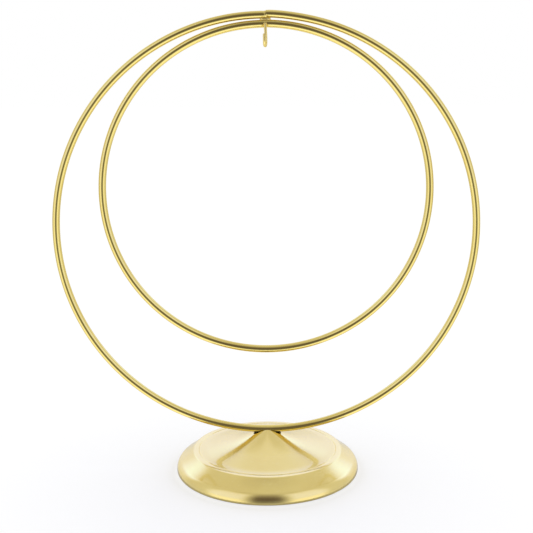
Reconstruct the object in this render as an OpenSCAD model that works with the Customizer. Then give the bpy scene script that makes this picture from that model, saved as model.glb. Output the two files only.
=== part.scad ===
// Tabletop display stand: two round-wire hoops, one inside the other, welded together at the top,
// with a small wire hook under them, standing in the slotted peak of a dished sheet-metal foot.
// Origin: centre of the foot, on the surface it stands on. +Z is up and the hoops lie in the XZ plane.
// The hook opens towards -Y, which is the front.

/* [Hoops] */
// Outside diameter of the large hoop
outer_hoop_d = 229; // [200:1:260]
// Outside diameter of the small hoop
inner_hoop_d = 178; // [120:1:185]
// Diameter of the round wire of both hoops
wire_d = 4; // [3:0.1:4.2]
// Gap between the two hoops where they are welded together
hoop_gap = 0.6; // [0.4:0.1:1.5]
// Height of the large hoop's wire centre above the ground, at its lowest point
hoop_bottom_z = 23.4; // [22.5:0.1:26]
// Width of the butt joint where the ends of a hoop are welded
seam_gap = 0.5; // [0.3:0.1:1]

/* [Hook] */
// Diameter of the hook wire
hook_d = 1.7; // [1.2:0.1:2.5]
// Distance between the hook's shank and its tip, centre to centre
hook_spread = 6.4; // [6:0.1:9]
// Height of the hook, from the middle of the small hoop's wire to the underside of the bend
hook_drop = 11.9; // [11:0.1:20]
// Height of the hook's tip above the underside of the bend
hook_tip_rise = 7.2; // [6.5:0.1:9]

/* [Foot] */
// Thickness of the sheet metal
sheet_t = 0.8; // [0.6:0.05:1]
// Height of the upright wall at the bottom of the rim
rim_wall_h = 0.6; // [0.4:0.1:4]
// Clearance from the hem of the sheet metal to the ground
hem_lift = 0.3; // [0.1:0.1:0.8]
// Length of the folded edge inside the rim
hem_fold_h = 1.6; // [1:0.1:1.8]
// Depth of the fine groove round the dish
groove_depth = 0.22; // [0.1:0.02:0.35]
// Length of the slot across the peak
slot_l = 15.4; // [14:0.1:16]
// Width of the slot across the peak
slot_w = 4.5; // [4.3:0.1:5]
// Thickness of the felt pad
felt_t = 1.2; // [0.8:0.1:1.4]
// Thickness of the stiff board above the felt pad
board_t = 1.5; // [1:0.1:2]

/* [Fastening] */
// Outside diameter of the stud's thread
stud_d = 4; // [3.5:0.1:4]
// Length of the stud below the hoop wire
stud_l = 9.2; // [8.6:0.1:12]
// Outside diameter of the wide washer
wide_washer_d = 20; // [19:0.5:22]
// Thickness of the wide washer
wide_washer_t = 1.2; // [1:0.1:1.5]
// Outside diameter of the spring washer
spring_washer_d = 7.6; // [7:0.1:9]
// Thickness of the spring washer
spring_washer_t = 0.9; // [0.7:0.1:1]
// Width of the nut across its flats
nut_af = 7; // [6.5:0.1:8]
// Height of the nut
nut_h = 3.2; // [2.2:0.1:3.4]

/* [Hidden] */
$fn = 96;

wire_r = wire_d / 2;
outer_r = outer_hoop_d / 2 - wire_r;
inner_r = inner_hoop_d / 2 - wire_r;
outer_z = hoop_bottom_z + outer_r;
outer_top_z = outer_z + outer_r;
inner_top_z = outer_top_z - wire_d - hoop_gap;
inner_z = inner_top_z - inner_r;
tie_z = (outer_top_z + inner_top_z) / 2;

hook_r = hook_d / 2;
weld_film = 0.08;
hook_y = -(wire_r + weld_film + hook_r);
bend_r = hook_spread / 2;
bend_z = inner_top_z - hook_drop + hook_r + bend_r;
tip_z = inner_top_z - hook_drop + hook_tip_rise - hook_r;

// Section of the foot, from the peak outwards: each knot is a radius and the slope of the sheet there, in
// degrees below the horizontal. A circular arc joins each knot to the next. The dish ends at the groove,
// and the rim starts with a narrow flat land beside it.
dish_knots = [[0, 0], [1.1, 31], [9, 24.5], [22, 14.5], [33, 13.5], [38, 0]];
rim_knots = [[38.5, -4], [41, 8], [41.6, 43], [48, 33], [50.6, 90]];
hem_r = 1.1;
arc_steps = 5;
crest_z = hem_lift + hem_r + rim_wall_h + chain_drop(rim_knots, len(rim_knots) - 1);
peak_z = crest_z + chain_drop(dish_knots, len(dish_knots) - 1);
rim_r = rim_knots[len(rim_knots) - 1][0];
dish_r = dish_knots[len(dish_knots) - 1][0];
wall_foot_z = hem_lift + hem_r;
fold_r = rim_r - 2 * hem_r;
board_r = fold_r - 0.4;

// The wide washer's upper edge meets the underside of the dish.
wide_washer_r = wide_washer_d / 2;
seat_knot = dish_knots[2];
seat_z = peak_z - chain_drop(dish_knots, 2) - sheet_t / cos(seat_knot[1])
         - (wide_washer_r - seat_knot[0]) * tan(seat_knot[1]);
wide_washer_z = seat_z - wide_washer_t;
spring_washer_z = wide_washer_z - spring_washer_t;
nut_z = spring_washer_z - nut_h;
stud_top_z = hoop_bottom_z - wire_r;
thread_play = 0.05;

gold = [0.86, 0.75, 0.45];
pale_gold = [0.93, 0.84, 0.58];
dark_gold = [0.72, 0.6, 0.32];
steel = [0.72, 0.73, 0.74];

// Radius of the arc between knots a and b: positive where it bulges out, negative where it is hollow
function arc_radius(a, b) = (b[0] - a[0]) / (sin(b[1]) - sin(a[1]));

// Fall from the first knot of a chain to knot i
function chain_drop(knots, i) =
    i == 0 ? 0 : chain_drop(knots, i - 1)
                 + arc_radius(knots[i - 1], knots[i]) * (cos(knots[i - 1][1]) - cos(knots[i][1]));

// Point where the slope is s, on the arc that starts at knot i, at a depth inside the sheet
function arc_point(knots, top_z, i, s, depth) =
    let (a = knots[i], k = arc_radius(a, knots[i + 1]))
    [a[0] + k * (sin(s) - sin(a[1])) - depth * sin(s),
     top_z - chain_drop(knots, i) - k * (cos(a[1]) - cos(s)) - depth * cos(s)];

// All points along a chain of arcs
function chain_points(knots, top_z, depth) =
    [for (i = [0 : len(knots) - 2], j = [0 : (i == len(knots) - 2 ? arc_steps : arc_steps - 1)])
        arc_point(knots, top_z, i, knots[i][1] + (knots[i + 1][1] - knots[i][1]) * j / arc_steps, depth)];

// Half turn of the hem at the bottom of the rim
function hem_points(r) =
    [for (j = [0 : 2 * arc_steps])
        let (a = -180 * j / (2 * arc_steps)) [rim_r - hem_r + r * cos(a), wall_foot_z + r * sin(a)]];

function groove_points() =
    [[dish_r + 0.05, crest_z],
     [(dish_r + rim_knots[0][0]) / 2, crest_z - groove_depth],
     [rim_knots[0][0] - 0.05, crest_z]];

function reversed(list) = [for (i = [len(list) - 1 : -1 : 0]) list[i]];

function shell_section() =
    concat(chain_points(dish_knots, peak_z, 0), groove_points(), chain_points(rim_knots, crest_z, 0),
           hem_points(hem_r),
           [[fold_r, wall_foot_z + hem_fold_h], [fold_r + sheet_t, wall_foot_z + hem_fold_h]],
           reversed(hem_points(hem_r - sheet_t)), reversed(chain_points(rim_knots, crest_z, sheet_t)),
           reversed(chain_points(dish_knots, peak_z, sheet_t)));

// Ring of wire in the XZ plane, centred at height z, open by gap at the top
module wire_ring(ring_r, z, section_r, gap = 0) {
    open_angle = gap / ring_r * 180 / PI;
    translate([0, 0, z])
        rotate([90, 0, 0])
            rotate([0, 0, 90 + open_angle / 2])
                rotate_extrude(angle = 360 - open_angle)
                    translate([ring_r, 0])
                        circle(r = section_r);
}

// Both hoops as whole rings, for cutting the welds to fit them
module hoop_wires() {
    wire_ring(outer_r, outer_z, wire_r);
    wire_ring(inner_r, inner_z, wire_r);
}

// Slot-shaped bar along X, rounded at both ends
module long_hole(length, width, height) {
    for (side = [-1, 1])
        translate([side * (length - width) / 2, 0, 0])
            cylinder(d = width, h = height);
    translate([-(length - width) / 2, -width / 2, 0])
        cube([length - width, width, height]);
}

module flat_ring(outer_d, hole_d, thickness) {
    difference() {
        cylinder(d = outer_d, h = thickness);
        translate([0, 0, -1])
            cylinder(d = hole_d, h = thickness + 2);
    }
}

// Bar of round section along X
module bar_x(length, r) {
    translate([-length / 2, 0, 0])
        rotate([0, 90, 0])
            cylinder(r = r, h = length);
}

module base_shell() {
    color(pale_gold)
        difference() {
            rotate_extrude()
                polygon(shell_section());
            translate([0, 0, seat_z - 1])
                long_hole(slot_l, slot_w, peak_z);
        }
}

module felt_pad() {
    color("dimgray")
        cylinder(r = board_r - 1, h = felt_t);
}

module backing_board() {
    color("tan")
        translate([0, 0, felt_t])
            cylinder(r = board_r, h = board_t);
}

module mounting_stud() {
    color(steel)
        difference() {
            translate([0, 0, stud_top_z - stud_l])
                cylinder(d = stud_d, h = stud_l + wire_r / 2);
            wire_ring(outer_r, outer_z, wire_r);
        }
}

// Two short beads, one on each side of the stud, under the lowest stretch of the wire
module stud_weld() {
    bead_l = 7;
    color(dark_gold)
        difference() {
            translate([0, 0, stud_top_z - 0.1])
                bar_x(bead_l, 1.5);
            translate([0, 0, hoop_bottom_z])
                bar_x(bead_l + 2, wire_r);
            translate([0, 0, stud_top_z - stud_l])
                cylinder(d = stud_d, h = stud_l + wire_r);
        }
}

module spreader_washer() {
    color(steel)
        translate([0, 0, wide_washer_z])
            flat_ring(wide_washer_d, stud_d + 0.4, wide_washer_t);
}

module lock_washer() {
    cut_w = 0.9;
    color(steel)
        translate([0, 0, spring_washer_z])
            difference() {
                flat_ring(spring_washer_d, stud_d + 0.2, spring_washer_t);
                rotate([20, 0, 0])
                    translate([0, -cut_w / 2, -spring_washer_t])
                        cube([spring_washer_d, cut_w, 4 * spring_washer_t]);
            }
}

module hex_nut() {
    color(steel)
        translate([0, 0, nut_z])
            difference() {
                cylinder(d = nut_af / cos(30), h = nut_h, $fn = 6);
                translate([0, 0, -1])
                    cylinder(d = stud_d + 2 * thread_play, h = nut_h + 2);
            }
}

module outer_hoop() {
    color(gold)
        wire_ring(outer_r, outer_z, wire_r, seam_gap);
}

module inner_hoop() {
    color(gold)
        wire_ring(inner_r, inner_z, wire_r, seam_gap);
}

// Slug of weld metal that fills the butt joint at the top of a hoop
module seam_weld(ring_r, z) {
    difference() {
        translate([0, 0, z + ring_r])
            bar_x(2 * seam_gap, wire_r - 0.05);
        wire_ring(ring_r, z, wire_r, seam_gap);
    }
}

module outer_seam_weld() {
    color(dark_gold)
        seam_weld(outer_r, outer_z);
}

module inner_seam_weld() {
    color(dark_gold)
        seam_weld(inner_r, inner_z);
}

module hoop_tie_weld() {
    color(dark_gold)
        difference() {
            translate([0, 0, tie_z])
                bar_x(5.6, wire_r * 0.7);
            hoop_wires();
        }
}

module ornament_hook() {
    color(gold)
        translate([0, hook_y, 0]) {
            translate([0, 0, bend_z])
                cylinder(r = hook_r, h = inner_top_z - bend_z + hook_r);
            translate([0, -bend_r, bend_z])
                rotate([90, 0, 90])
                    rotate([0, 0, 180])
                        rotate_extrude(angle = 180)
                            translate([bend_r, 0])
                                circle(r = hook_r);
            translate([0, -hook_spread, bend_z]) {
                cylinder(r = hook_r, h = tip_z - bend_z);
                translate([0, 0, tip_z - bend_z])
                    sphere(r = hook_r);
            }
        }
}

// Bead between the small hoop and the top of the shank, which stands just clear of the wire
module hook_weld() {
    color(dark_gold)
        difference() {
            translate([0, -wire_r / 2, inner_top_z - 0.2])
                rotate([90, 0, 0])
                    cylinder(r = 1.2, h = wire_r / 2 + weld_film + hook_r);
            translate([0, 0, inner_top_z])
                bar_x(2 * wire_d, wire_r);
            translate([0, hook_y, bend_z])
                cylinder(r = hook_r, h = inner_top_z - bend_z + 2 * hook_r);
        }
}

base_shell();
felt_pad();
backing_board();
mounting_stud();
stud_weld();
spreader_washer();
lock_washer();
hex_nut();
outer_hoop();
outer_seam_weld();
inner_hoop();
inner_seam_weld();
hoop_tie_weld();
ornament_hook();
hook_weld();
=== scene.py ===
"""Looks of a tabletop display stand: two gold-plated wire hoops, one inside the other, with a small wire
hook, standing in the slotted peak of a dished sheet-metal foot."""

import math

import bmesh
import bpy
from mathutils import Matrix, Vector, noise


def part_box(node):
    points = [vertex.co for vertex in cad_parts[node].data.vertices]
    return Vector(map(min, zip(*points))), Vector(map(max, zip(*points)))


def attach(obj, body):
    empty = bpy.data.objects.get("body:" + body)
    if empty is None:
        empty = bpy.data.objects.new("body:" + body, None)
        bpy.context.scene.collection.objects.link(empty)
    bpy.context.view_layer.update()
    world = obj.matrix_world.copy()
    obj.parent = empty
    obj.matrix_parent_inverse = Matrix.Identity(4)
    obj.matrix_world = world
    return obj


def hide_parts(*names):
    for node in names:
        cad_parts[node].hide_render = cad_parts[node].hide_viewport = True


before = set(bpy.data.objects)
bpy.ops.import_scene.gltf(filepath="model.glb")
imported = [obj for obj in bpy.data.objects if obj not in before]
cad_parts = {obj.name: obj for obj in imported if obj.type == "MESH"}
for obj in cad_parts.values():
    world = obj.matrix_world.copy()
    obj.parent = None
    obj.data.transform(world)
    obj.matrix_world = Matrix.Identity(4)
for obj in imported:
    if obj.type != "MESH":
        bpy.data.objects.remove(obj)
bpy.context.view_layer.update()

MM = 0.001
BODY = "root"


def in_mm(node):
    """Lowest and highest corners of a CAD node, in millimetres."""
    low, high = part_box(node)
    return low / MM, high / MM


# ---------------------------------------------------------------- sizes, in millimetres

outer_low, outer_high = in_mm("outer_hoop")
inner_low, inner_high = in_mm("inner_hoop")
hook_low, hook_high = in_mm("ornament_hook")
shell_low, shell_high = in_mm("base_shell")
tie_low, tie_high = in_mm("hoop_tie_weld")
bead_high = in_mm("stud_weld")[1]
stud_low, stud_high = in_mm("mounting_stud")
wide_low, wide_high = in_mm("spreader_washer")
spring_low, spring_high = in_mm("lock_washer")
nut_low, nut_high = in_mm("hex_nut")
board_low, board_high = in_mm("backing_board")
felt_low, felt_high = in_mm("felt_pad")

WIRE_R = (outer_high.y - outer_low.y) / 2
OUTER_R = (outer_high.z - outer_low.z) / 2 - WIRE_R
OUTER_Z = (outer_high.z + outer_low.z) / 2
INNER_R = (inner_high.z - inner_low.z) / 2 - WIRE_R
INNER_Z = (inner_high.z + inner_low.z) / 2
OUTER_TOP_Z = OUTER_Z + OUTER_R
INNER_TOP_Z = INNER_Z + INNER_R
SEAM_GAP = 0.5
SEAM_WELD_HALF = 1.3 * SEAM_GAP
SEAM_WELD_SINK = 0.03
END_ROUND = 0.12
# Step in height between a hoop's ends: the share that each end takes, and how far it fades along the wire
RIGHT_SHARE = 0.8
LEFT_SHARE = -0.2
STEP_FADE = 13
OUTER_STEP = 0.5
INNER_STEP = 0.1

# The visible hook wire is a little thinner than the CAD hook, and runs along the same line.
CAD_HOOK_R = (hook_high.x - hook_low.x) / 2
HOOK_R = 0.75
SHANK_Y = hook_high.y - CAD_HOOK_R
TIP_Y = hook_low.y + CAD_HOOK_R
BEND_R = (SHANK_Y - TIP_Y) / 2
BEND_Z = hook_low.z + CAD_HOOK_R + BEND_R
SHANK_TOP_Z = hook_high.z - 0.6
TIP_RISE = 2.3
# Sideways lean of the shank, over a height, and how far the tip stands to the other side of it
SHANK_LEAN = 0.3
LEAN_HEIGHT = 8
TIP_SHIFT = 0.75

# Section of the foot: each knot is a radius and the slope of the sheet there, in degrees below the
# horizontal, and a circular arc joins each knot to the next, as in the CAD model.
DISH_KNOTS = [(0, 0), (1.1, 31), (9, 24.5), (22, 14.5), (33, 13.5), (38, 0)]
RIM_KNOTS = [(38.5, -4), (41, 8), (41.6, 43), (48, 33), (50.6, 90)]
SHEET_T = 0.8
RIM_WALL_H = 0.6
HEM_R = 1.1
HEM_FOLD_H = 1.6
GROOVE_DEPTH = 0.22
SLOT_L = 15.4
SLOT_W = 4.5
LIP_ROUND = 0.16
# Within this radius the foot's section starts at the edge of the slot, and so changes with its angle.
SLOT_FLANK_R = 9.5

# Fastening under the foot
STUD_R = (stud_high.x - stud_low.x) / 2
THREAD_PITCH = 0.7
THREAD_DEPTH = 0.38
STUD_NECK = 1.6
STUD_CHAMFER = 0.5
WASHER_EDGE = 0.18
WASHER_PLAY = 0.2
SPRING_EDGE = 0.12
SPRING_PLAY = 0.1
SPRING_LIFT = 0.06
SPRING_SLIT = 16
BORE_PLAY = 0.05
BORE_CHAMFER = 0.35
BOARD_EDGE = 0.25
FELT_EDGE = 0.35


def sin(degrees):
    return math.sin(math.radians(degrees))


def cos(degrees):
    return math.cos(math.radians(degrees))


def smooth_step(t):
    t = min(1.0, max(0.0, t))
    return t * t * (3 - 2 * t)


# ---------------------------------------------------------------- mesh tools

def loft(rings, loop=False):
    """Vertices and faces that join closed rings of points, each to the next, capped unless they loop."""
    size = len(rings[0])
    verts = [point for ring in rings for point in ring]
    faces = []
    for i in range(len(rings) if loop else len(rings) - 1):
        a, b = i * size, (i + 1) % len(rings) * size
        for k in range(size):
            n = (k + 1) % size
            faces.append((a + k, a + n, b + n, b + k))
    if not loop:
        faces.append(tuple(range(size - 1, -1, -1)))
        faces.append(tuple((len(rings) - 1) * size + k for k in range(size)))
    return verts, faces


def new_piece(name, shape, material, replaced, crease=50):
    """A mesh object, given in millimetres, that rides on the stand and stands for some CAD nodes."""
    verts, faces = shape
    mesh = bpy.data.meshes.new(name)
    mesh.from_pydata([Vector(v) * MM for v in verts], [], faces)
    mesh.validate()
    fix_normals(mesh)
    piece = bpy.data.objects.new(name, mesh)
    bpy.context.scene.collection.objects.link(piece)
    mesh.materials.append(material)
    mesh.shade_smooth()
    mesh.set_sharp_from_angle(angle=math.radians(crease))
    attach(piece, BODY)
    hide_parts(replaced)
    return piece


def fix_normals(mesh):
    """Turns a closed mesh's faces outwards."""
    shape = bmesh.new()
    shape.from_mesh(mesh)
    bmesh.ops.recalc_face_normals(shape, faces=shape.faces)
    shape.to_mesh(mesh)
    shape.free()


def joined(*shapes):
    """Several shapes as one."""
    verts, faces = [], []
    for more_verts, more_faces in shapes:
        start = len(verts)
        verts += more_verts
        faces += [tuple(start + i for i in face) for face in more_faces]
    return verts, faces


def tube(path, radii, sides):
    """A round bar along points, with one radius at each point."""
    rings = []
    side = (path[1] - path[0]).orthogonal().normalized()
    for i, point in enumerate(path):
        ahead = (path[min(i + 1, len(path) - 1)] - path[max(i - 1, 0)]).normalized()
        side = (side - ahead * side.dot(ahead)).normalized()
        up = ahead.cross(side)
        turn = [2 * math.pi * k / sides for k in range(sides)]
        rings.append([point + (side * math.cos(a) + up * math.sin(a)) * radii[i] for a in turn])
    return loft(rings)


def lathe(section_at, turns):
    """A closed section, given for each angle as (radius, z) points, turned round the Z axis."""
    rings = []
    for k in range(turns):
        a = 360 * k / turns
        rings.append([Vector((r * cos(a), r * sin(a), z)) for r, z in section_at(a)])
    return loft(rings, loop=True)


def rounded_box_section(r0, r1, z0, z1, edge):
    """Section of a ring with rounded edges, as (radius, z) points."""
    steps = 4
    points = []
    for cr, cz, start in ((r1 - edge, z0 + edge, -90), (r1 - edge, z1 - edge, 0),
                          (r0 + edge, z1 - edge, 90), (r0 + edge, z0 + edge, 180)):
        for j in range(steps + 1):
            a = start + 90 * j / steps
            points.append((cr + edge * cos(a), cz + edge * sin(a)))
    return points


def lump(point, size, scale):
    """A smooth random shift of a surface point, for welds and rough edges."""
    return size * noise.noise(Vector(point) * scale)


# ---------------------------------------------------------------- hoops and their seams

def hoop(ring_r, ring_z, step_up, turns):
    """Ring of wire, open at the top, with rounded ends that meet with a small step in height."""
    start = 90 + math.degrees(SEAM_GAP / 2 / ring_r)
    sweep = 360 - 2 * (start - 90)
    path = []
    for i in range(turns + 1):
        a = start + sweep * i / turns
        from_seam = ring_r * math.radians(min(a - 90, 450 - a))
        share = RIGHT_SHARE if a > 270 else LEFT_SHARE
        rise = share * step_up * math.exp(-(from_seam / STEP_FADE) ** 2)
        path.append(Vector(((ring_r + rise) * cos(a), 0, ring_z + (ring_r + rise) * sin(a))))
    radii = [WIRE_R] * len(path)
    radii[0] = radii[-1] = WIRE_R - END_ROUND
    radii[1] = radii[-2] = WIRE_R - END_ROUND / 6
    return tube(path, radii, 28)


def seam_weld(top_z):
    """Weld metal in the butt joint of a hoop, ground almost flush."""
    steps, sides = 8, 32
    rings = []
    for i in range(steps + 1):
        share = 2 * i / steps - 1
        x = SEAM_WELD_HALF * share
        ring = []
        for k in range(sides):
            a = 360 * k / sides
            r = WIRE_R - SEAM_WELD_SINK - 0.1 * share ** 2 + lump((x, cos(a), sin(a) + top_z), 0.06, 2.2)
            ring.append(Vector((x, r * cos(a), top_z + r * sin(a))))
        rings.append(ring)
    return loft(rings)


def bead(start, end, radius, wobble, seed, steps=20):
    """Weld bead: a rounded bar between two points along X, with faint ripples and random lumps."""
    start, end = Vector(start), Vector(end)
    sides = 20
    rings = []
    for i in range(steps + 1):
        t = i / steps
        centre = start.lerp(end, t)
        swell = max(0.12, 1 - (2 * t - 1) ** 4) ** 0.5
        ripple = 1 + 0.03 * math.sin(t * 22)
        ring = []
        for k in range(sides):
            a = 360 * k / sides
            r = radius * swell * ripple + lump((centre.x + seed, 2 * cos(a), 2 * sin(a)), wobble, 0.9)
            ring.append(centre + Vector((0, r * cos(a), r * sin(a))))
        rings.append(ring)
    return loft(rings)


# ---------------------------------------------------------------- hook

def hook_shape():
    """J of thin wire with a rounded tip, which leans a little and isn't quite in one plane."""
    shank_steps, bend_steps, tip_steps, dome_steps = 24, 48, 8, 6
    path = []
    for i in range(shank_steps + 1):
        path.append(Vector((0, SHANK_Y, SHANK_TOP_Z - (SHANK_TOP_Z - BEND_Z) * i / shank_steps)))
    for i in range(1, bend_steps + 1):
        a = 180 * i / bend_steps
        path.append(Vector((0, SHANK_Y - BEND_R + BEND_R * cos(a), BEND_Z - BEND_R * sin(a))))
    for i in range(1, tip_steps + 1):
        path.append(Vector((0, TIP_Y, BEND_Z + TIP_RISE * i / tip_steps)))
    for point in path:
        forward = (SHANK_Y - point.y) / (SHANK_Y - TIP_Y)
        point.x += SHANK_LEAN * smooth_step((SHANK_TOP_Z - point.z) / LEAN_HEIGHT)
        point.x -= TIP_SHIFT * smooth_step(forward)
    radii = [HOOK_R] * len(path)
    radii[0] = 0.6 * HOOK_R
    tip = path[-1].copy()
    for i in range(1, dome_steps + 1):
        a = 88 * i / dome_steps
        path.append(tip + Vector((0, 0, HOOK_R * sin(a))))
        radii.append(HOOK_R * cos(a))
    return tube(path, radii, 24)


# ---------------------------------------------------------------- foot

def arc_radius(a, b):
    return (b[0] - a[0]) / (sin(b[1]) - sin(a[1]))


def arc_fall(a, b):
    return arc_radius(a, b) * (cos(a[1]) - cos(b[1]))


def chain_fall(knots):
    return sum(arc_fall(a, b) for a, b in zip(knots, knots[1:]))


def chain_points(knots, top_z, depth, step=2.0):
    """Points (radius, z) along a chain of arcs, at a depth inside the sheet."""
    points = []
    for a, b in zip(knots, knots[1:]):
        k = arc_radius(a, b)
        count = max(4, math.ceil(abs(b[1] - a[1]) / step), math.ceil((b[0] - a[0]) / 0.9))
        for j in range(count + 1):
            s = a[1] + (b[1] - a[1]) * j / count
            if j or a is knots[0]:
                points.append((a[0] + k * (sin(s) - sin(a[1])) - depth * sin(s),
                               top_z - k * (cos(a[1]) - cos(s)) - depth * cos(s)))
        top_z -= arc_fall(a, b)
    return points


WALL_FOOT_Z = shell_low.z + HEM_R
CREST_Z = WALL_FOOT_Z + RIM_WALL_H + chain_fall(RIM_KNOTS)
PEAK_Z = CREST_Z + chain_fall(DISH_KNOTS)


def dish_height(r, depth):
    """Height of the dish at a radius, at a depth inside the sheet."""
    z = PEAK_Z
    for a, b in zip(DISH_KNOTS, DISH_KNOTS[1:]):
        if r <= b[0]:
            k = arc_radius(a, b)
            s = math.degrees(math.asin(sin(a[1]) + (r - a[0]) / k))
            return z - k * (cos(a[1]) - cos(s)) - depth / cos(s)
        z -= arc_fall(a, b)


def slot_outline(angle):
    """Distance from the centre of the slot to its edge, for an angle in degrees."""
    straight = (SLOT_L - SLOT_W) / 2
    half = SLOT_W / 2
    dx, dy = abs(cos(angle)), abs(sin(angle))
    if dy * straight >= half * dx:
        return half / dy
    return straight * dx + math.sqrt(half ** 2 - (straight * dy) ** 2)


def groove_section():
    """Fine rounded groove between the dish and the rim, as (radius, z) points."""
    middle = (DISH_KNOTS[-1][0] + RIM_KNOTS[0][0]) / 2
    half = (RIM_KNOTS[0][0] - DISH_KNOTS[-1][0]) / 2 - 0.02
    count = 8
    return [(middle + half * (2 * i / count - 1),
             CREST_Z - GROOVE_DEPTH / 2 * (1 - cos(360 * i / count))) for i in range(1, count)]


def hem_section(r):
    """Half turn at the bottom of the rim, from outside to inside, as (radius, z) points."""
    rim_r = RIM_KNOTS[-1][0]
    return [(rim_r - HEM_R + r * cos(a), WALL_FOOT_Z + r * sin(a)) for a in range(0, -181, -15)]


OUTER_FACE = ([p for p in chain_points(DISH_KNOTS, PEAK_Z, 0) if p[0] > SLOT_FLANK_R + 0.3]
              + groove_section() + chain_points(RIM_KNOTS, CREST_Z, 0) + hem_section(HEM_R))
FOLD_R = RIM_KNOTS[-1][0] - 2 * HEM_R
FOLD_EDGE = [(FOLD_R + SHEET_T * (1 - cos(a)) / 2, WALL_FOOT_Z + HEM_FOLD_H + SHEET_T * sin(a) / 2)
             for a in range(0, 181, 30)]
INNER_FACE = (hem_section(HEM_R - SHEET_T)[::-1] + chain_points(RIM_KNOTS, CREST_Z, SHEET_T, 5)[::-1]
              + [p for p in chain_points(DISH_KNOTS, PEAK_Z, SHEET_T, 5) if p[0] > SLOT_FLANK_R + 0.3][::-1])


def foot_section(angle):
    """Section of the foot at one angle, from the slot out over the top and back underneath."""
    edge = slot_outline(angle)
    steps = 11
    radii = [edge + (SLOT_FLANK_R - edge) * i / steps for i in range(steps + 1)]
    lip = [(edge, dish_height(edge, LIP_ROUND)), (edge + 0.04, dish_height(edge + 0.04, 0.06)),
           (edge + 0.14, dish_height(edge + 0.14, 0))]
    top = [(r, dish_height(r, 0)) for r in radii[1:]]
    under = [(r, dish_height(r, SHEET_T)) for r in radii[::-2]]
    return lip + top + OUTER_FACE + FOLD_EDGE + INNER_FACE + under


# ---------------------------------------------------------------- fastening under the foot

def disc(section, sides=180):
    """Solid disc from (radius, z) points that run from under its centre to above it."""
    rings = [[Vector((r * cos(360 * k / sides), r * sin(360 * k / sides), z)) for k in range(sides)]
             for r, z in section]
    return loft(rings)


def flat_disc_section(r, z0, z1, edge):
    """Section of a disc with rounded edges, with a few rings across each face."""
    inner = [r * 0.02, r * 0.35, r * 0.7, r - 3 * edge]
    rim = [(r - edge + edge * cos(a), z0 + edge + edge * sin(a)) for a in range(-90, 1, 18)]
    top = [(r - edge + edge * cos(a), z1 - edge + edge * sin(a)) for a in range(0, 91, 18)]
    return [(q, z0) for q in inner] + rim + top + [(q, z1) for q in inner[::-1]]


def threaded_stud():
    """Stud with a helical thread, a chamfered end and a plain neck at the weld."""
    z0, z1 = stud_low.z, stud_high.z
    sides = 28
    count = round((z1 - z0) / THREAD_PITCH * 12)
    rings = []
    for i in range(count + 1):
        z = z0 + (z1 - z0) * i / count
        ring = []
        for k in range(sides):
            turn = (z / THREAD_PITCH - k / sides) % 1
            cut = THREAD_DEPTH * (1 - abs(2 * turn - 1)) * smooth_step((z1 - STUD_NECK - z) / 0.6)
            r = min(STUD_R - cut, STUD_R - STUD_CHAMFER + (z - z0))
            ring.append(Vector((r * cos(360 * k / sides), r * sin(360 * k / sides), z)))
        rings.append(ring)
    return loft(rings)


def split_washer():
    """Spring washer: one turn of square wire whose ends stand apart in height."""
    outer = (spring_high.y - spring_low.y) / 2
    section = rounded_box_section(STUD_R + SPRING_PLAY, outer, spring_low.z + SPRING_LIFT,
                                  spring_high.z - SPRING_LIFT, SPRING_EDGE)
    steps = 96
    rings = []
    for i in range(steps + 1):
        a = SPRING_SLIT / 2 + (360 - SPRING_SLIT) * i / steps
        lift = SPRING_LIFT * (2 * i / steps - 1)
        rings.append([Vector((r * cos(a), r * sin(a), z + lift)) for r, z in section])
    return loft(rings)


def hexagon_nut():
    """Hexagon nut, chamfered at both ends, with a countersunk bore."""
    across = (nut_high.y - nut_low.y) / 2
    bore = STUD_R + BORE_PLAY
    z0, z1 = nut_low.z, nut_high.z
    chamfer_r = across * 0.985

    def section(angle):
        flat = across / cos(angle % 60 - 30)
        drop = max(0.06, (flat - chamfer_r) * 0.58)
        return [(bore + BORE_CHAMFER, z0), (chamfer_r, z0), (flat, z0 + drop), (flat, (z0 + z1) / 2),
                (flat, z1 - drop), (chamfer_r, z1), (bore + BORE_CHAMFER, z1), (bore, z1 - BORE_CHAMFER),
                (bore, z0 + BORE_CHAMFER)]

    return lathe(section, 120)


# ---------------------------------------------------------------- materials

def new_material(name):
    material = bpy.data.materials.new(name)
    material.use_nodes = True
    nodes, links = material.node_tree.nodes, material.node_tree.links
    return material, nodes, links, nodes["Principled BSDF"]


def noise_node(nodes, links, coords, scale, detail=3.0):
    texture = nodes.new("ShaderNodeTexNoise")
    texture.inputs["Scale"].default_value = scale
    texture.inputs["Detail"].default_value = detail
    links.new(coords, texture.inputs["Vector"])
    return texture.outputs["Fac"]


def remap(nodes, links, value, low, high, from_low=0.3, from_high=0.7):
    """A value scaled from one range into another."""
    node = nodes.new("ShaderNodeMapRange")
    node.inputs["From Min"].default_value = from_low
    node.inputs["From Max"].default_value = from_high
    node.inputs["To Min"].default_value = low
    node.inputs["To Max"].default_value = high
    links.new(value, node.inputs["Value"])
    return node.outputs["Result"]


def mixed(nodes, links, factor, colour_a, colour_b):
    node = nodes.new("ShaderNodeMix")
    node.data_type = "RGBA"
    links.new(factor, node.inputs["Factor"])
    for socket, colour in (("A", colour_a), ("B", colour_b)):
        target = [s for s in node.inputs if s.name == socket and s.type == "RGBA"][0]
        if isinstance(colour, tuple):
            target.default_value = (*colour, 1)
        else:
            links.new(colour, target)
    return [s for s in node.outputs if s.type == "RGBA"][0]


def add_bump(nodes, links, shader, height, distance):
    bump = nodes.new("ShaderNodeBump")
    bump.inputs["Strength"].default_value = 1.0
    bump.inputs["Distance"].default_value = distance
    links.new(height, bump.inputs["Height"])
    links.new(bump.outputs["Normal"], shader.inputs["Normal"])


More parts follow.
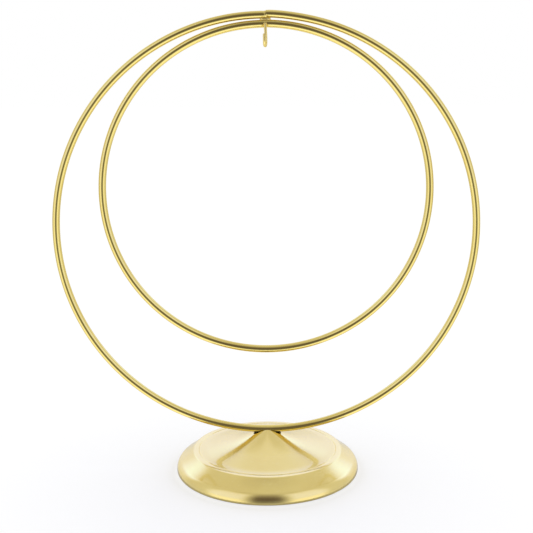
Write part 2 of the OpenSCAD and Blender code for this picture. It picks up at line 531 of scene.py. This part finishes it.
def maths(nodes, links, operation, a, b=None):
    """Arithmetic on values, which are sockets or numbers."""
    node = nodes.new("ShaderNodeMath")
    node.operation = operation
    for socket, value in zip(node.inputs, (a, b)):
        if value is None:
            continue
        if isinstance(value, (int, float)):
            socket.default_value = value
        else:
            links.new(value, socket)
    return node.outputs[0]


def length(nodes, links, vector):
    node = nodes.new("ShaderNodeVectorMath")
    node.operation = "LENGTH"
    links.new(vector, node.inputs[0])
    return node.outputs["Value"]


def smooth_ramp(nodes, links, value, ends):
    """A share that goes smoothly from 0 to 1 while a value goes from one end to the other."""
    node = nodes.new("ShaderNodeMapRange")
    node.interpolation_type = "SMOOTHSTEP"
    node.inputs["From Min"].default_value, node.inputs["From Max"].default_value = ends
    links.new(value, node.inputs["Value"])
    return node.outputs["Result"]


def colour_ramp(nodes, links, value, stops):
    """Colour at a value, from stops of (place, (red, green, blue))."""
    ramp = nodes.new("ShaderNodeValToRGB")
    elements = ramp.color_ramp.elements
    while len(elements) < len(stops):
        elements.new(0.5)
    for element, (place, colour) in zip(elements, stops):
        element.position = place
        element.color = (*colour, 1)
    links.new(value, ramp.inputs["Fac"])
    return ramp.outputs["Color"]


# Extra roughness of the spun sheet, by its distance from the middle as a share of the foot's radius. The
# first two are the ends of the curve.
DULLED = [(0.0, 0.0), (1.0, 0.0), (0.25, 0.02), (0.62, 0.13), (0.73, 0.13), (0.77, 0.0), (0.84, 0.06),
          (0.93, 0.03), (0.97, 0.0)]
SPUN_MARK_DEPTH = 1.6
WORN_GOLD = (0.9, 0.78, 0.42)
COAT_ROUGH = 0.08
COAT_IOR = 1.75


def from_axis(nodes, links, coords):
    """Distance of a point from the vertical axis of the stand."""
    split = nodes.new("ShaderNodeSeparateXYZ")
    links.new(coords, split.inputs[0])
    flat = nodes.new("ShaderNodeCombineXYZ")
    links.new(split.outputs["X"], flat.inputs["X"])
    links.new(split.outputs["Y"], flat.inputs["Y"])
    return length(nodes, links, flat.outputs[0])


def spun_marks(nodes, links, radius):
    """Fine rings left by the spinning tool."""
    place = nodes.new("ShaderNodeCombineXYZ")
    links.new(radius, place.inputs["X"])
    return noise_node(nodes, links, place.outputs[0], 1500.0)


def spun_dullness(nodes, links, radius):
    """Extra roughness of the spun sheet at a radius."""
    dulled = nodes.new("ShaderNodeFloatCurve")
    curve = dulled.mapping.curves[0]
    for k, (place, value) in enumerate(DULLED):
        if k < 2:
            curve.points[k].location = (place, value)
        else:
            curve.points.new(place, value)
    dulled.mapping.update()
    share = remap(nodes, links, radius, 0.0, 1.0, 0.0, RIM_KNOTS[-1][0] * MM)
    links.new(share, dulled.inputs["Value"])
    return dulled.outputs[0]


def gold_plate(name, rough, spread, grain, light, deep, coat, edge=(1.0, 1.0, 1.0), spun=False):
    """Gold plating: slow drifts of colour and gloss, a fine grain, and lathe marks on spun sheet.

    light and deep are the ends of its colour, edge the tint of its reflections at a glancing angle."""
    material, nodes, links, shader = new_material(name)
    coords = nodes.new("ShaderNodeTexCoord").outputs["Object"]
    drift = noise_node(nodes, links, coords, 38.0)
    fine = noise_node(nodes, links, coords, 2600.0, 4.0)
    specks = noise_node(nodes, links, coords, 900.0, 2.0)
    colour = mixed(nodes, links, remap(nodes, links, drift, 0.0, 1.0), deep, light)
    worn = remap(nodes, links, specks, 0.0, 0.35, 0.62, 0.75)
    colour = mixed(nodes, links, worn, colour, WORN_GOLD)
    height = fine
    gloss = maths(nodes, links, "ADD", fine, drift)
    gloss = remap(nodes, links, gloss, rough - spread, rough + spread, 0.7, 1.3)
    if spun:
        radius = from_axis(nodes, links, coords)
        marks = maths(nodes, links, "MULTIPLY", spun_marks(nodes, links, radius), SPUN_MARK_DEPTH)
        height = maths(nodes, links, "ADD", height, marks)
        gloss = maths(nodes, links, "ADD", gloss, spun_dullness(nodes, links, radius))
    links.new(colour, shader.inputs["Base Color"])
    links.new(gloss, shader.inputs["Roughness"])
    add_bump(nodes, links, shader, height, grain)
    shader.inputs["Metallic"].default_value = 1.0
    shader.inputs["Coat Weight"].default_value = coat
    shader.inputs["Coat Roughness"].default_value = COAT_ROUGH
    shader.inputs["Coat IOR"].default_value = COAT_IOR
    shader.inputs["Specular Tint"].default_value = (*edge, 1)
    return material


def zinc():
    """Dull zinc plating with a faint yellow bloom."""
    material, nodes, links, shader = new_material("zinc_plate")
    coords = nodes.new("ShaderNodeTexCoord").outputs["Object"]
    bloom = noise_node(nodes, links, coords, 420.0)
    fine = noise_node(nodes, links, coords, 5200.0)
    links.new(mixed(nodes, links, remap(nodes, links, bloom, 0.0, 1.0), (0.62, 0.63, 0.65),
                    (0.70, 0.68, 0.60)), shader.inputs["Base Color"])
    links.new(remap(nodes, links, fine, 0.26, 0.42), shader.inputs["Roughness"])
    add_bump(nodes, links, shader, fine, 0.00002)
    shader.inputs["Metallic"].default_value = 1.0
    return material


def fibreboard():
    """Pressed brown board with short fibres lying every way."""
    material, nodes, links, shader = new_material("fibreboard")
    coords = nodes.new("ShaderNodeTexCoord").outputs["Object"]
    cloud = noise_node(nodes, links, coords, 160.0)
    heights = []
    for turn in (0.2, 1.3, 2.5):
        lie = nodes.new("ShaderNodeMapping")
        lie.inputs["Rotation"].default_value = (0, 0, turn)
        lie.inputs["Scale"].default_value = (1, 9, 3)
        links.new(coords, lie.inputs["Vector"])
        heights.append(noise_node(nodes, links, lie.outputs[0], 240.0, 2.0))
    fibres = maths(nodes, links, "ADD", heights[0], maths(nodes, links, "ADD", heights[1], heights[2]))
    brown = mixed(nodes, links, remap(nodes, links, fibres, 0.0, 1.0, 1.2, 1.8), (0.21, 0.13, 0.07),
                  (0.38, 0.26, 0.15))
    links.new(mixed(nodes, links, remap(nodes, links, cloud, 0.0, 0.4), brown, (0.16, 0.10, 0.06)),
              shader.inputs["Base Color"])
    links.new(remap(nodes, links, cloud, 0.7, 0.9), shader.inputs["Roughness"])
    add_bump(nodes, links, shader, fibres, 0.00008)
    return material


def wool_felt():
    """Black wool felt: matted fibres with a soft sheen."""
    material, nodes, links, shader = new_material("wool_felt")
    coords = nodes.new("ShaderNodeTexCoord").outputs["Object"]
    bend = nodes.new("ShaderNodeTexNoise")
    bend.inputs["Scale"].default_value = 500.0
    links.new(coords, bend.inputs["Vector"])
    mat = nodes.new("ShaderNodeTexVoronoi")
    mat.inputs["Scale"].default_value = 1500.0
    shifted = nodes.new("ShaderNodeVectorMath")
    shifted.operation = "MULTIPLY_ADD"
    links.new(bend.outputs["Color"], shifted.inputs[0])
    shifted.inputs[1].default_value = (0.003, 0.003, 0.003)
    links.new(coords, shifted.inputs[2])
    links.new(shifted.outputs[0], mat.inputs["Vector"])
    fuzz = maths(nodes, links, "ADD", mat.outputs["Distance"],
                 noise_node(nodes, links, coords, 900.0, 6.0))
    links.new(mixed(nodes, links, remap(nodes, links, fuzz, 0.0, 1.0, 0.5, 1.3), (0.008, 0.008, 0.009),
                    (0.034, 0.033, 0.035)), shader.inputs["Base Color"])
    links.new(remap(nodes, links, fuzz, 0.85, 1.0, 0.5, 1.3), shader.inputs["Roughness"])
    add_bump(nodes, links, shader, fuzz, 0.00025)
    shader.inputs["Sheen Weight"].default_value = 0.2
    shader.inputs["Sheen Roughness"].default_value = 0.45
    return material


# ---------------------------------------------------------------- the stand

WIRE_EDGE = (0.78, 0.66, 0.38)
foot_gold = gold_plate("spun_gold", 0.19, 0.03, 0.000001, (0.86, 0.70, 0.24), (0.81, 0.64, 0.20), 0.9,
                       edge=(0.93, 0.85, 0.58), spun=True)
wire_gold = gold_plate("wire_gold", 0.14, 0.03, 0.000002, (0.81, 0.67, 0.225), (0.77, 0.62, 0.20), 0.1,
                       edge=WIRE_EDGE)
hook_gold = gold_plate("hook_gold", 0.26, 0.03, 0.000002, (0.83, 0.68, 0.25), (0.78, 0.62, 0.22), 0.1,
                       edge=WIRE_EDGE)
weld_gold = gold_plate("weld_gold", 0.42, 0.05, 0.000006, (0.80, 0.65, 0.25), (0.72, 0.56, 0.20), 0.1)
zinc_steel = zinc()

new_piece("outer_hoop_wire", hoop(OUTER_R, OUTER_Z, OUTER_STEP, 600), wire_gold, "outer_hoop")
new_piece("inner_hoop_wire", hoop(INNER_R, INNER_Z, INNER_STEP, 480), wire_gold, "inner_hoop")
# The seams are ground and polished with the wire, so they have its finish.
new_piece("outer_seam_bead", seam_weld(OUTER_TOP_Z), wire_gold, "outer_seam_weld")
new_piece("inner_seam_bead", seam_weld(INNER_TOP_Z), wire_gold, "inner_seam_weld")

TIE_HALF = (tie_high.x - tie_low.x) / 2
TIE_Z = (tie_low.z + tie_high.z) / 2
TIE_R = 1.3
new_piece("hoop_tie_bead", bead((-TIE_HALF, 0, TIE_Z), (TIE_HALF, 0, TIE_Z), TIE_R, 0.03, 3.1),
          weld_gold, "hoop_tie_weld")

HOOK_BEAD_HALF = 0.95
HOOK_BEAD_Y = -WIRE_R + 0.1
HOOK_BEAD_R = 0.55
new_piece("hook_wire", hook_shape(), hook_gold, "ornament_hook")
new_piece("hook_bead", bead((-HOOK_BEAD_HALF, HOOK_BEAD_Y, INNER_TOP_Z),
                            (HOOK_BEAD_HALF, HOOK_BEAD_Y, INNER_TOP_Z), HOOK_BEAD_R, 0.04, 7.7, 14),
          weld_gold, "hook_weld")

new_piece("foot_shell", lathe(foot_section, 288), foot_gold, "base_shell", 35)

STUD_BEAD_Z = bead_high.z - 0.9
STUD_BEAD_X = (STUD_R - 0.2, bead_high.x)
STUD_BEAD_R = 1.1
new_piece("threaded_stud", threaded_stud(), zinc_steel, "mounting_stud", 60)
new_piece("stud_beads",
          joined(bead((-STUD_BEAD_X[1], 0, STUD_BEAD_Z), (-STUD_BEAD_X[0], 0, STUD_BEAD_Z), STUD_BEAD_R,
                      0.12, 1.3, 12),
                 bead((STUD_BEAD_X[0], 0, STUD_BEAD_Z), (STUD_BEAD_X[1], 0, STUD_BEAD_Z), STUD_BEAD_R,
                      0.12, 5.9, 12)),
          weld_gold, "stud_weld")

wide_ring = rounded_box_section(STUD_R + WASHER_PLAY, (wide_high.x - wide_low.x) / 2, wide_low.z,
                                wide_high.z, WASHER_EDGE)
new_piece("wide_washer", lathe(lambda angle: wide_ring, 120), zinc_steel, "spreader_washer")
new_piece("split_washer", split_washer(), zinc_steel, "lock_washer")
new_piece("hexagon_nut", hexagon_nut(), zinc_steel, "hex_nut", 30)

board_r = (board_high.x - board_low.x) / 2
new_piece("board_disc", disc(flat_disc_section(board_r, board_low.z, board_high.z, BOARD_EDGE)),
          fibreboard(), "backing_board")
felt_r = (felt_high.x - felt_low.x) / 2
felt = new_piece("felt_disc", disc(flat_disc_section(felt_r, felt_low.z, felt_high.z, FELT_EDGE)),
                 wool_felt(), "felt_pad")


# ---------------------------------------------------------------- studio

# Table top, in millimetres. A painted white glow covers its real shade, so that its shaded part fades out
# between two distances from a point in front of the foot, and a painted glow lightens the shade close to the
# foot's edge over a short distance.
FLOOR_HALF = 3000
FLOOR_Z = -0.05
SHADE_MIDDLE = (-10, -45, 0)
SHADE_FADE = (45, 180)
SHADE_FLOOR = 0.12
CONTACT_FADE = 4
CONTACT_LIGHT = 0.7
WHITE_FLOOR = 1.02
# Grey sheet under and around the foot that the bottom edge of the foot mirrors in place of the table: painted
# contact shade, seen only in reflections
SHADE_SHEET_PAST_RIM = 3.5
SHADE_SHEET_Z = -0.04

# Brightness of the studio as (height above the horizon in degrees, brightness), for the wall behind the
# camera, the soft boxes beside it, the side walls, the corners behind the stand and the backdrop.
FRONT_WALL = [(-90, 1.45), (-38, 1.4), (-29, 0.6), (-23, 0.24), (-10, 0.22), (0, 0.15), (20, 0.14), (30, 0.19),
              (40, 0.26), (52, 0.37), (65, 0.56), (78, 0.74), (90, 0.75)]
SOFT_BOX = [(-90, 1.45), (-35, 1.35), (-12, 1.22), (10, 1.27), (30, 1.22), (48, 1.1), (58, 0.8), (65, 0.7),
            (90, 0.75)]
SIDE_WALL = [(-90, 1.45), (-35, 1.05), (-14, 0.76), (5, 0.8), (36, 0.78), (55, 0.77), (70, 0.8), (90, 0.75)]
CORNER = [(-90, 1.45), (-32, 0.95), (-20, 0.87), (-8, 0.9), (2, 0.98), (13, 1.08), (20, 1.6), (27, 2.35),
          (32, 2.2), (38, 1.15), (48, 0.8), (90, 0.75)]
BACKDROP = [(-90, 1.45), (-32, 0.9), (-20, 0.76), (-6, 0.78), (4, 0.95), (17, 1.4), (28, 1.5), (35, 1.4),
            (41, 1.1), (48, 0.94), (66, 0.95), (80, 0.82), (90, 0.75)]
# Azimuths, in degrees from the camera's side, where each of these gives way to the next
WALLS = [((12, 38), SOFT_BOX), ((66, 84), SIDE_WALL), ((108, 128), CORNER), ((156, 172), BACKDROP)]
BRIGHTEST = 2.4
# Height of a direction, as a share of its length, over which the light takes on its colour
TINT_ABOVE = (-0.2, 0.1)
# Colour of the studio's light as (brightness, red, green, blue): dim walls are warm, bright panels cool
LIGHT_COLOURS = [(0.0, 0, 0, 0), (0.18, 0.17, 0.14, 0.14), (0.45, 0.45, 0.43, 0.39), (0.77, 0.77, 0.75, 0.70),
                 (0.92, 0.92, 0.92, 0.97), (1.0, 0.98, 1.0, 1.18), (1.25, 1.05, 1.1, 1.5),
                 (1.5, 1.1, 1.2, 1.85), (2.4, 1.2, 1.5, 2.4)]
# Even light that falls on matt surfaces
SOFT_LIGHT = 1.06

# Camera fitted to the photo: place in millimetres, and angles in degrees
CAMERA_AT = (0.0, -558.9, 238.6)
CAMERA_DOWN = 12.37
CAMERA_ROLL = -0.3
LENS_MM = 71.6


def table_top():
    """Matt white table mixed with a painted white glow, which turns it into the white of the background away
    from the stand and lightens its shade at the foot's edge.
    """
    material, nodes, links, shader = new_material("table_top")
    coords = nodes.new("ShaderNodeTexCoord").outputs["Object"]
    shader.inputs["Roughness"].default_value = 0.9
    shader.inputs["Specular IOR Level"].default_value = 0.0
    cloud = noise_node(nodes, links, coords, 3.0)
    links.new(mixed(nodes, links, cloud, (0.90, 0.896, 0.888), (0.93, 0.926, 0.918)),
              shader.inputs["Base Color"])
    away = nodes.new("ShaderNodeVectorMath")
    away.operation = "DISTANCE"
    links.new(coords, away.inputs[0])
    away.inputs[1].default_value = Vector(SHADE_MIDDLE) * MM
    fade = remap(nodes, links, away.outputs["Value"], SHADE_FLOOR, 1.0, SHADE_FADE[0] * MM,
                 SHADE_FADE[1] * MM)
    # Painted light: more glow next to the foot's edge, lightening its contact shade
    contact = remap(nodes, links, length(nodes, links, coords), CONTACT_LIGHT, 0.0, shell_high.x * MM,
                    (shell_high.x + CONTACT_FADE) * MM)
    # Painted white glow laid over the table's real shading
    white = nodes.new("ShaderNodeEmission")
    white.inputs["Strength"].default_value = WHITE_FLOOR
    mix = nodes.new("ShaderNodeMixShader")
    links.new(maths(nodes, links, "MAXIMUM", fade, contact), mix.inputs[0])
    links.new(shader.outputs[0], mix.inputs[1])
    links.new(white.outputs[0], mix.inputs[2])
    links.new(mix.outputs[0], nodes["Material Output"].inputs["Surface"])
    return material


def painted_contact_shade():
    """Matt grey of a sheet under and beside the foot, seen only in its reflections: painted contact shade in
    place of the table.
    """
    material, nodes, links, shader = new_material("painted_contact_shade")
    coords = nodes.new("ShaderNodeTexCoord").outputs["Object"]
    links.new(mixed(nodes, links, noise_node(nodes, links, coords, 40.0), (0.58, 0.58, 0.58),
                    (0.62, 0.62, 0.62)), shader.inputs["Base Color"])
    shader.inputs["Roughness"].default_value = 0.9
    return material


def studio_object(name, verts, faces, material):
    """A mesh object of the studio, given in millimetres, which isn't part of the stand."""
    mesh = bpy.data.meshes.new(name)
    mesh.from_pydata([Vector(v) * MM for v in verts], [], faces)
    mesh.materials.append(material)
    thing = bpy.data.objects.new(name, mesh)
    bpy.context.scene.collection.objects.link(thing)
    return thing


def make_floor():
    """Table top, and a grey sheet that stands in for it in the foot's reflections as painted contact shade."""
    steps = 24
    verts = [(FLOOR_HALF * (2 * i / steps - 1), FLOOR_HALF * (2 * j / steps - 1), FLOOR_Z)
             for i in range(steps + 1) for j in range(steps + 1)]
    corners = [i * (steps + 1) + j for i in range(steps) for j in range(steps)]
    faces = [(a, a + steps + 1, a + steps + 2, a + 1) for a in corners]
    floor = studio_object("floor", verts, faces, table_top())
    floor.visible_glossy = False

    rim, rings = shell_high.x + SHADE_SHEET_PAST_RIM, 8
    verts, faces = disc([(rim * t / rings, SHADE_SHEET_Z) for t in range(1, rings + 1)], 96)
    # Painted contact shade: a grey sheet that only reflections see
    painted_shade_sheet = studio_object("painted_shade_sheet", verts, faces[:-1], painted_contact_shade())
    painted_shade_sheet.visible_camera = False
    painted_shade_sheet.visible_diffuse = False
    painted_shade_sheet.visible_shadow = False


def make_world():
    """Studio seen by reflections as bands of wall; pure white to the camera, even for soft light."""
    world = bpy.data.worlds.new("studio")
    bpy.context.scene.world = world
    world.use_nodes = True
    nodes, links = world.node_tree.nodes, world.node_tree.links
    split = nodes.new("ShaderNodeSeparateXYZ")
    links.new(nodes.new("ShaderNodeTexCoord").outputs["Generated"], split.inputs[0])
    x, y, z = split.outputs
    around = maths(nodes, links, "ARCTAN2", maths(nodes, links, "ABSOLUTE", x),
                   maths(nodes, links, "MULTIPLY", y, -1.0))
    height = remap(nodes, links, maths(nodes, links, "ARCSINE", z), 0.0, 1.0, -math.pi / 2, math.pi / 2)

    def wall(stops):
        return colour_ramp(nodes, links, height, [((angle + 90) / 180, (bright / BRIGHTEST,) * 3)
                                                  for angle, bright in stops])

    light = wall(FRONT_WALL)
    for ends, stops in WALLS:
        edge = smooth_ramp(nodes, links, around, [math.radians(end) for end in ends])
        light = mixed(nodes, links, edge, light, wall(stops))
    tinted = colour_ramp(nodes, links, light, [(bright / BRIGHTEST, [c / BRIGHTEST for c in colour])
                                               for bright, *colour in LIGHT_COLOURS])
    light = mixed(nodes, links, smooth_ramp(nodes, links, z, TINT_ABOVE), light, tinted)
    path = nodes.new("ShaderNodeLightPath")
    light = mixed(nodes, links, path.outputs["Is Diffuse Ray"], light, (SOFT_LIGHT / BRIGHTEST,) * 3)
    light = mixed(nodes, links, path.outputs["Is Camera Ray"], light, (1.0 / BRIGHTEST,) * 3)
    background = nodes["Background"]
    links.new(light, background.inputs["Color"])
    background.inputs["Strength"].default_value = BRIGHTEST


def make_camera():
    """Camera in front of the stand, a little above its middle, looking slightly down."""
    data = bpy.data.cameras.new("camera")
    data.lens = LENS_MM
    data.sensor_width = 36.0
    data.clip_start = 0.01
    data.clip_end = 50.0
    camera = bpy.data.objects.new("camera", data)
    bpy.context.scene.collection.objects.link(camera)
    turn = (Matrix.Rotation(math.radians(90 - CAMERA_DOWN), 4, "X")
            @ Matrix.Rotation(math.radians(CAMERA_ROLL), 4, "Z"))
    camera.matrix_world = Matrix.Translation(Vector(CAMERA_AT) * MM) @ turn
    bpy.context.scene.camera = camera


make_floor()
make_world()
make_camera()
bpy.context.scene.view_settings.view_transform = "Standard"
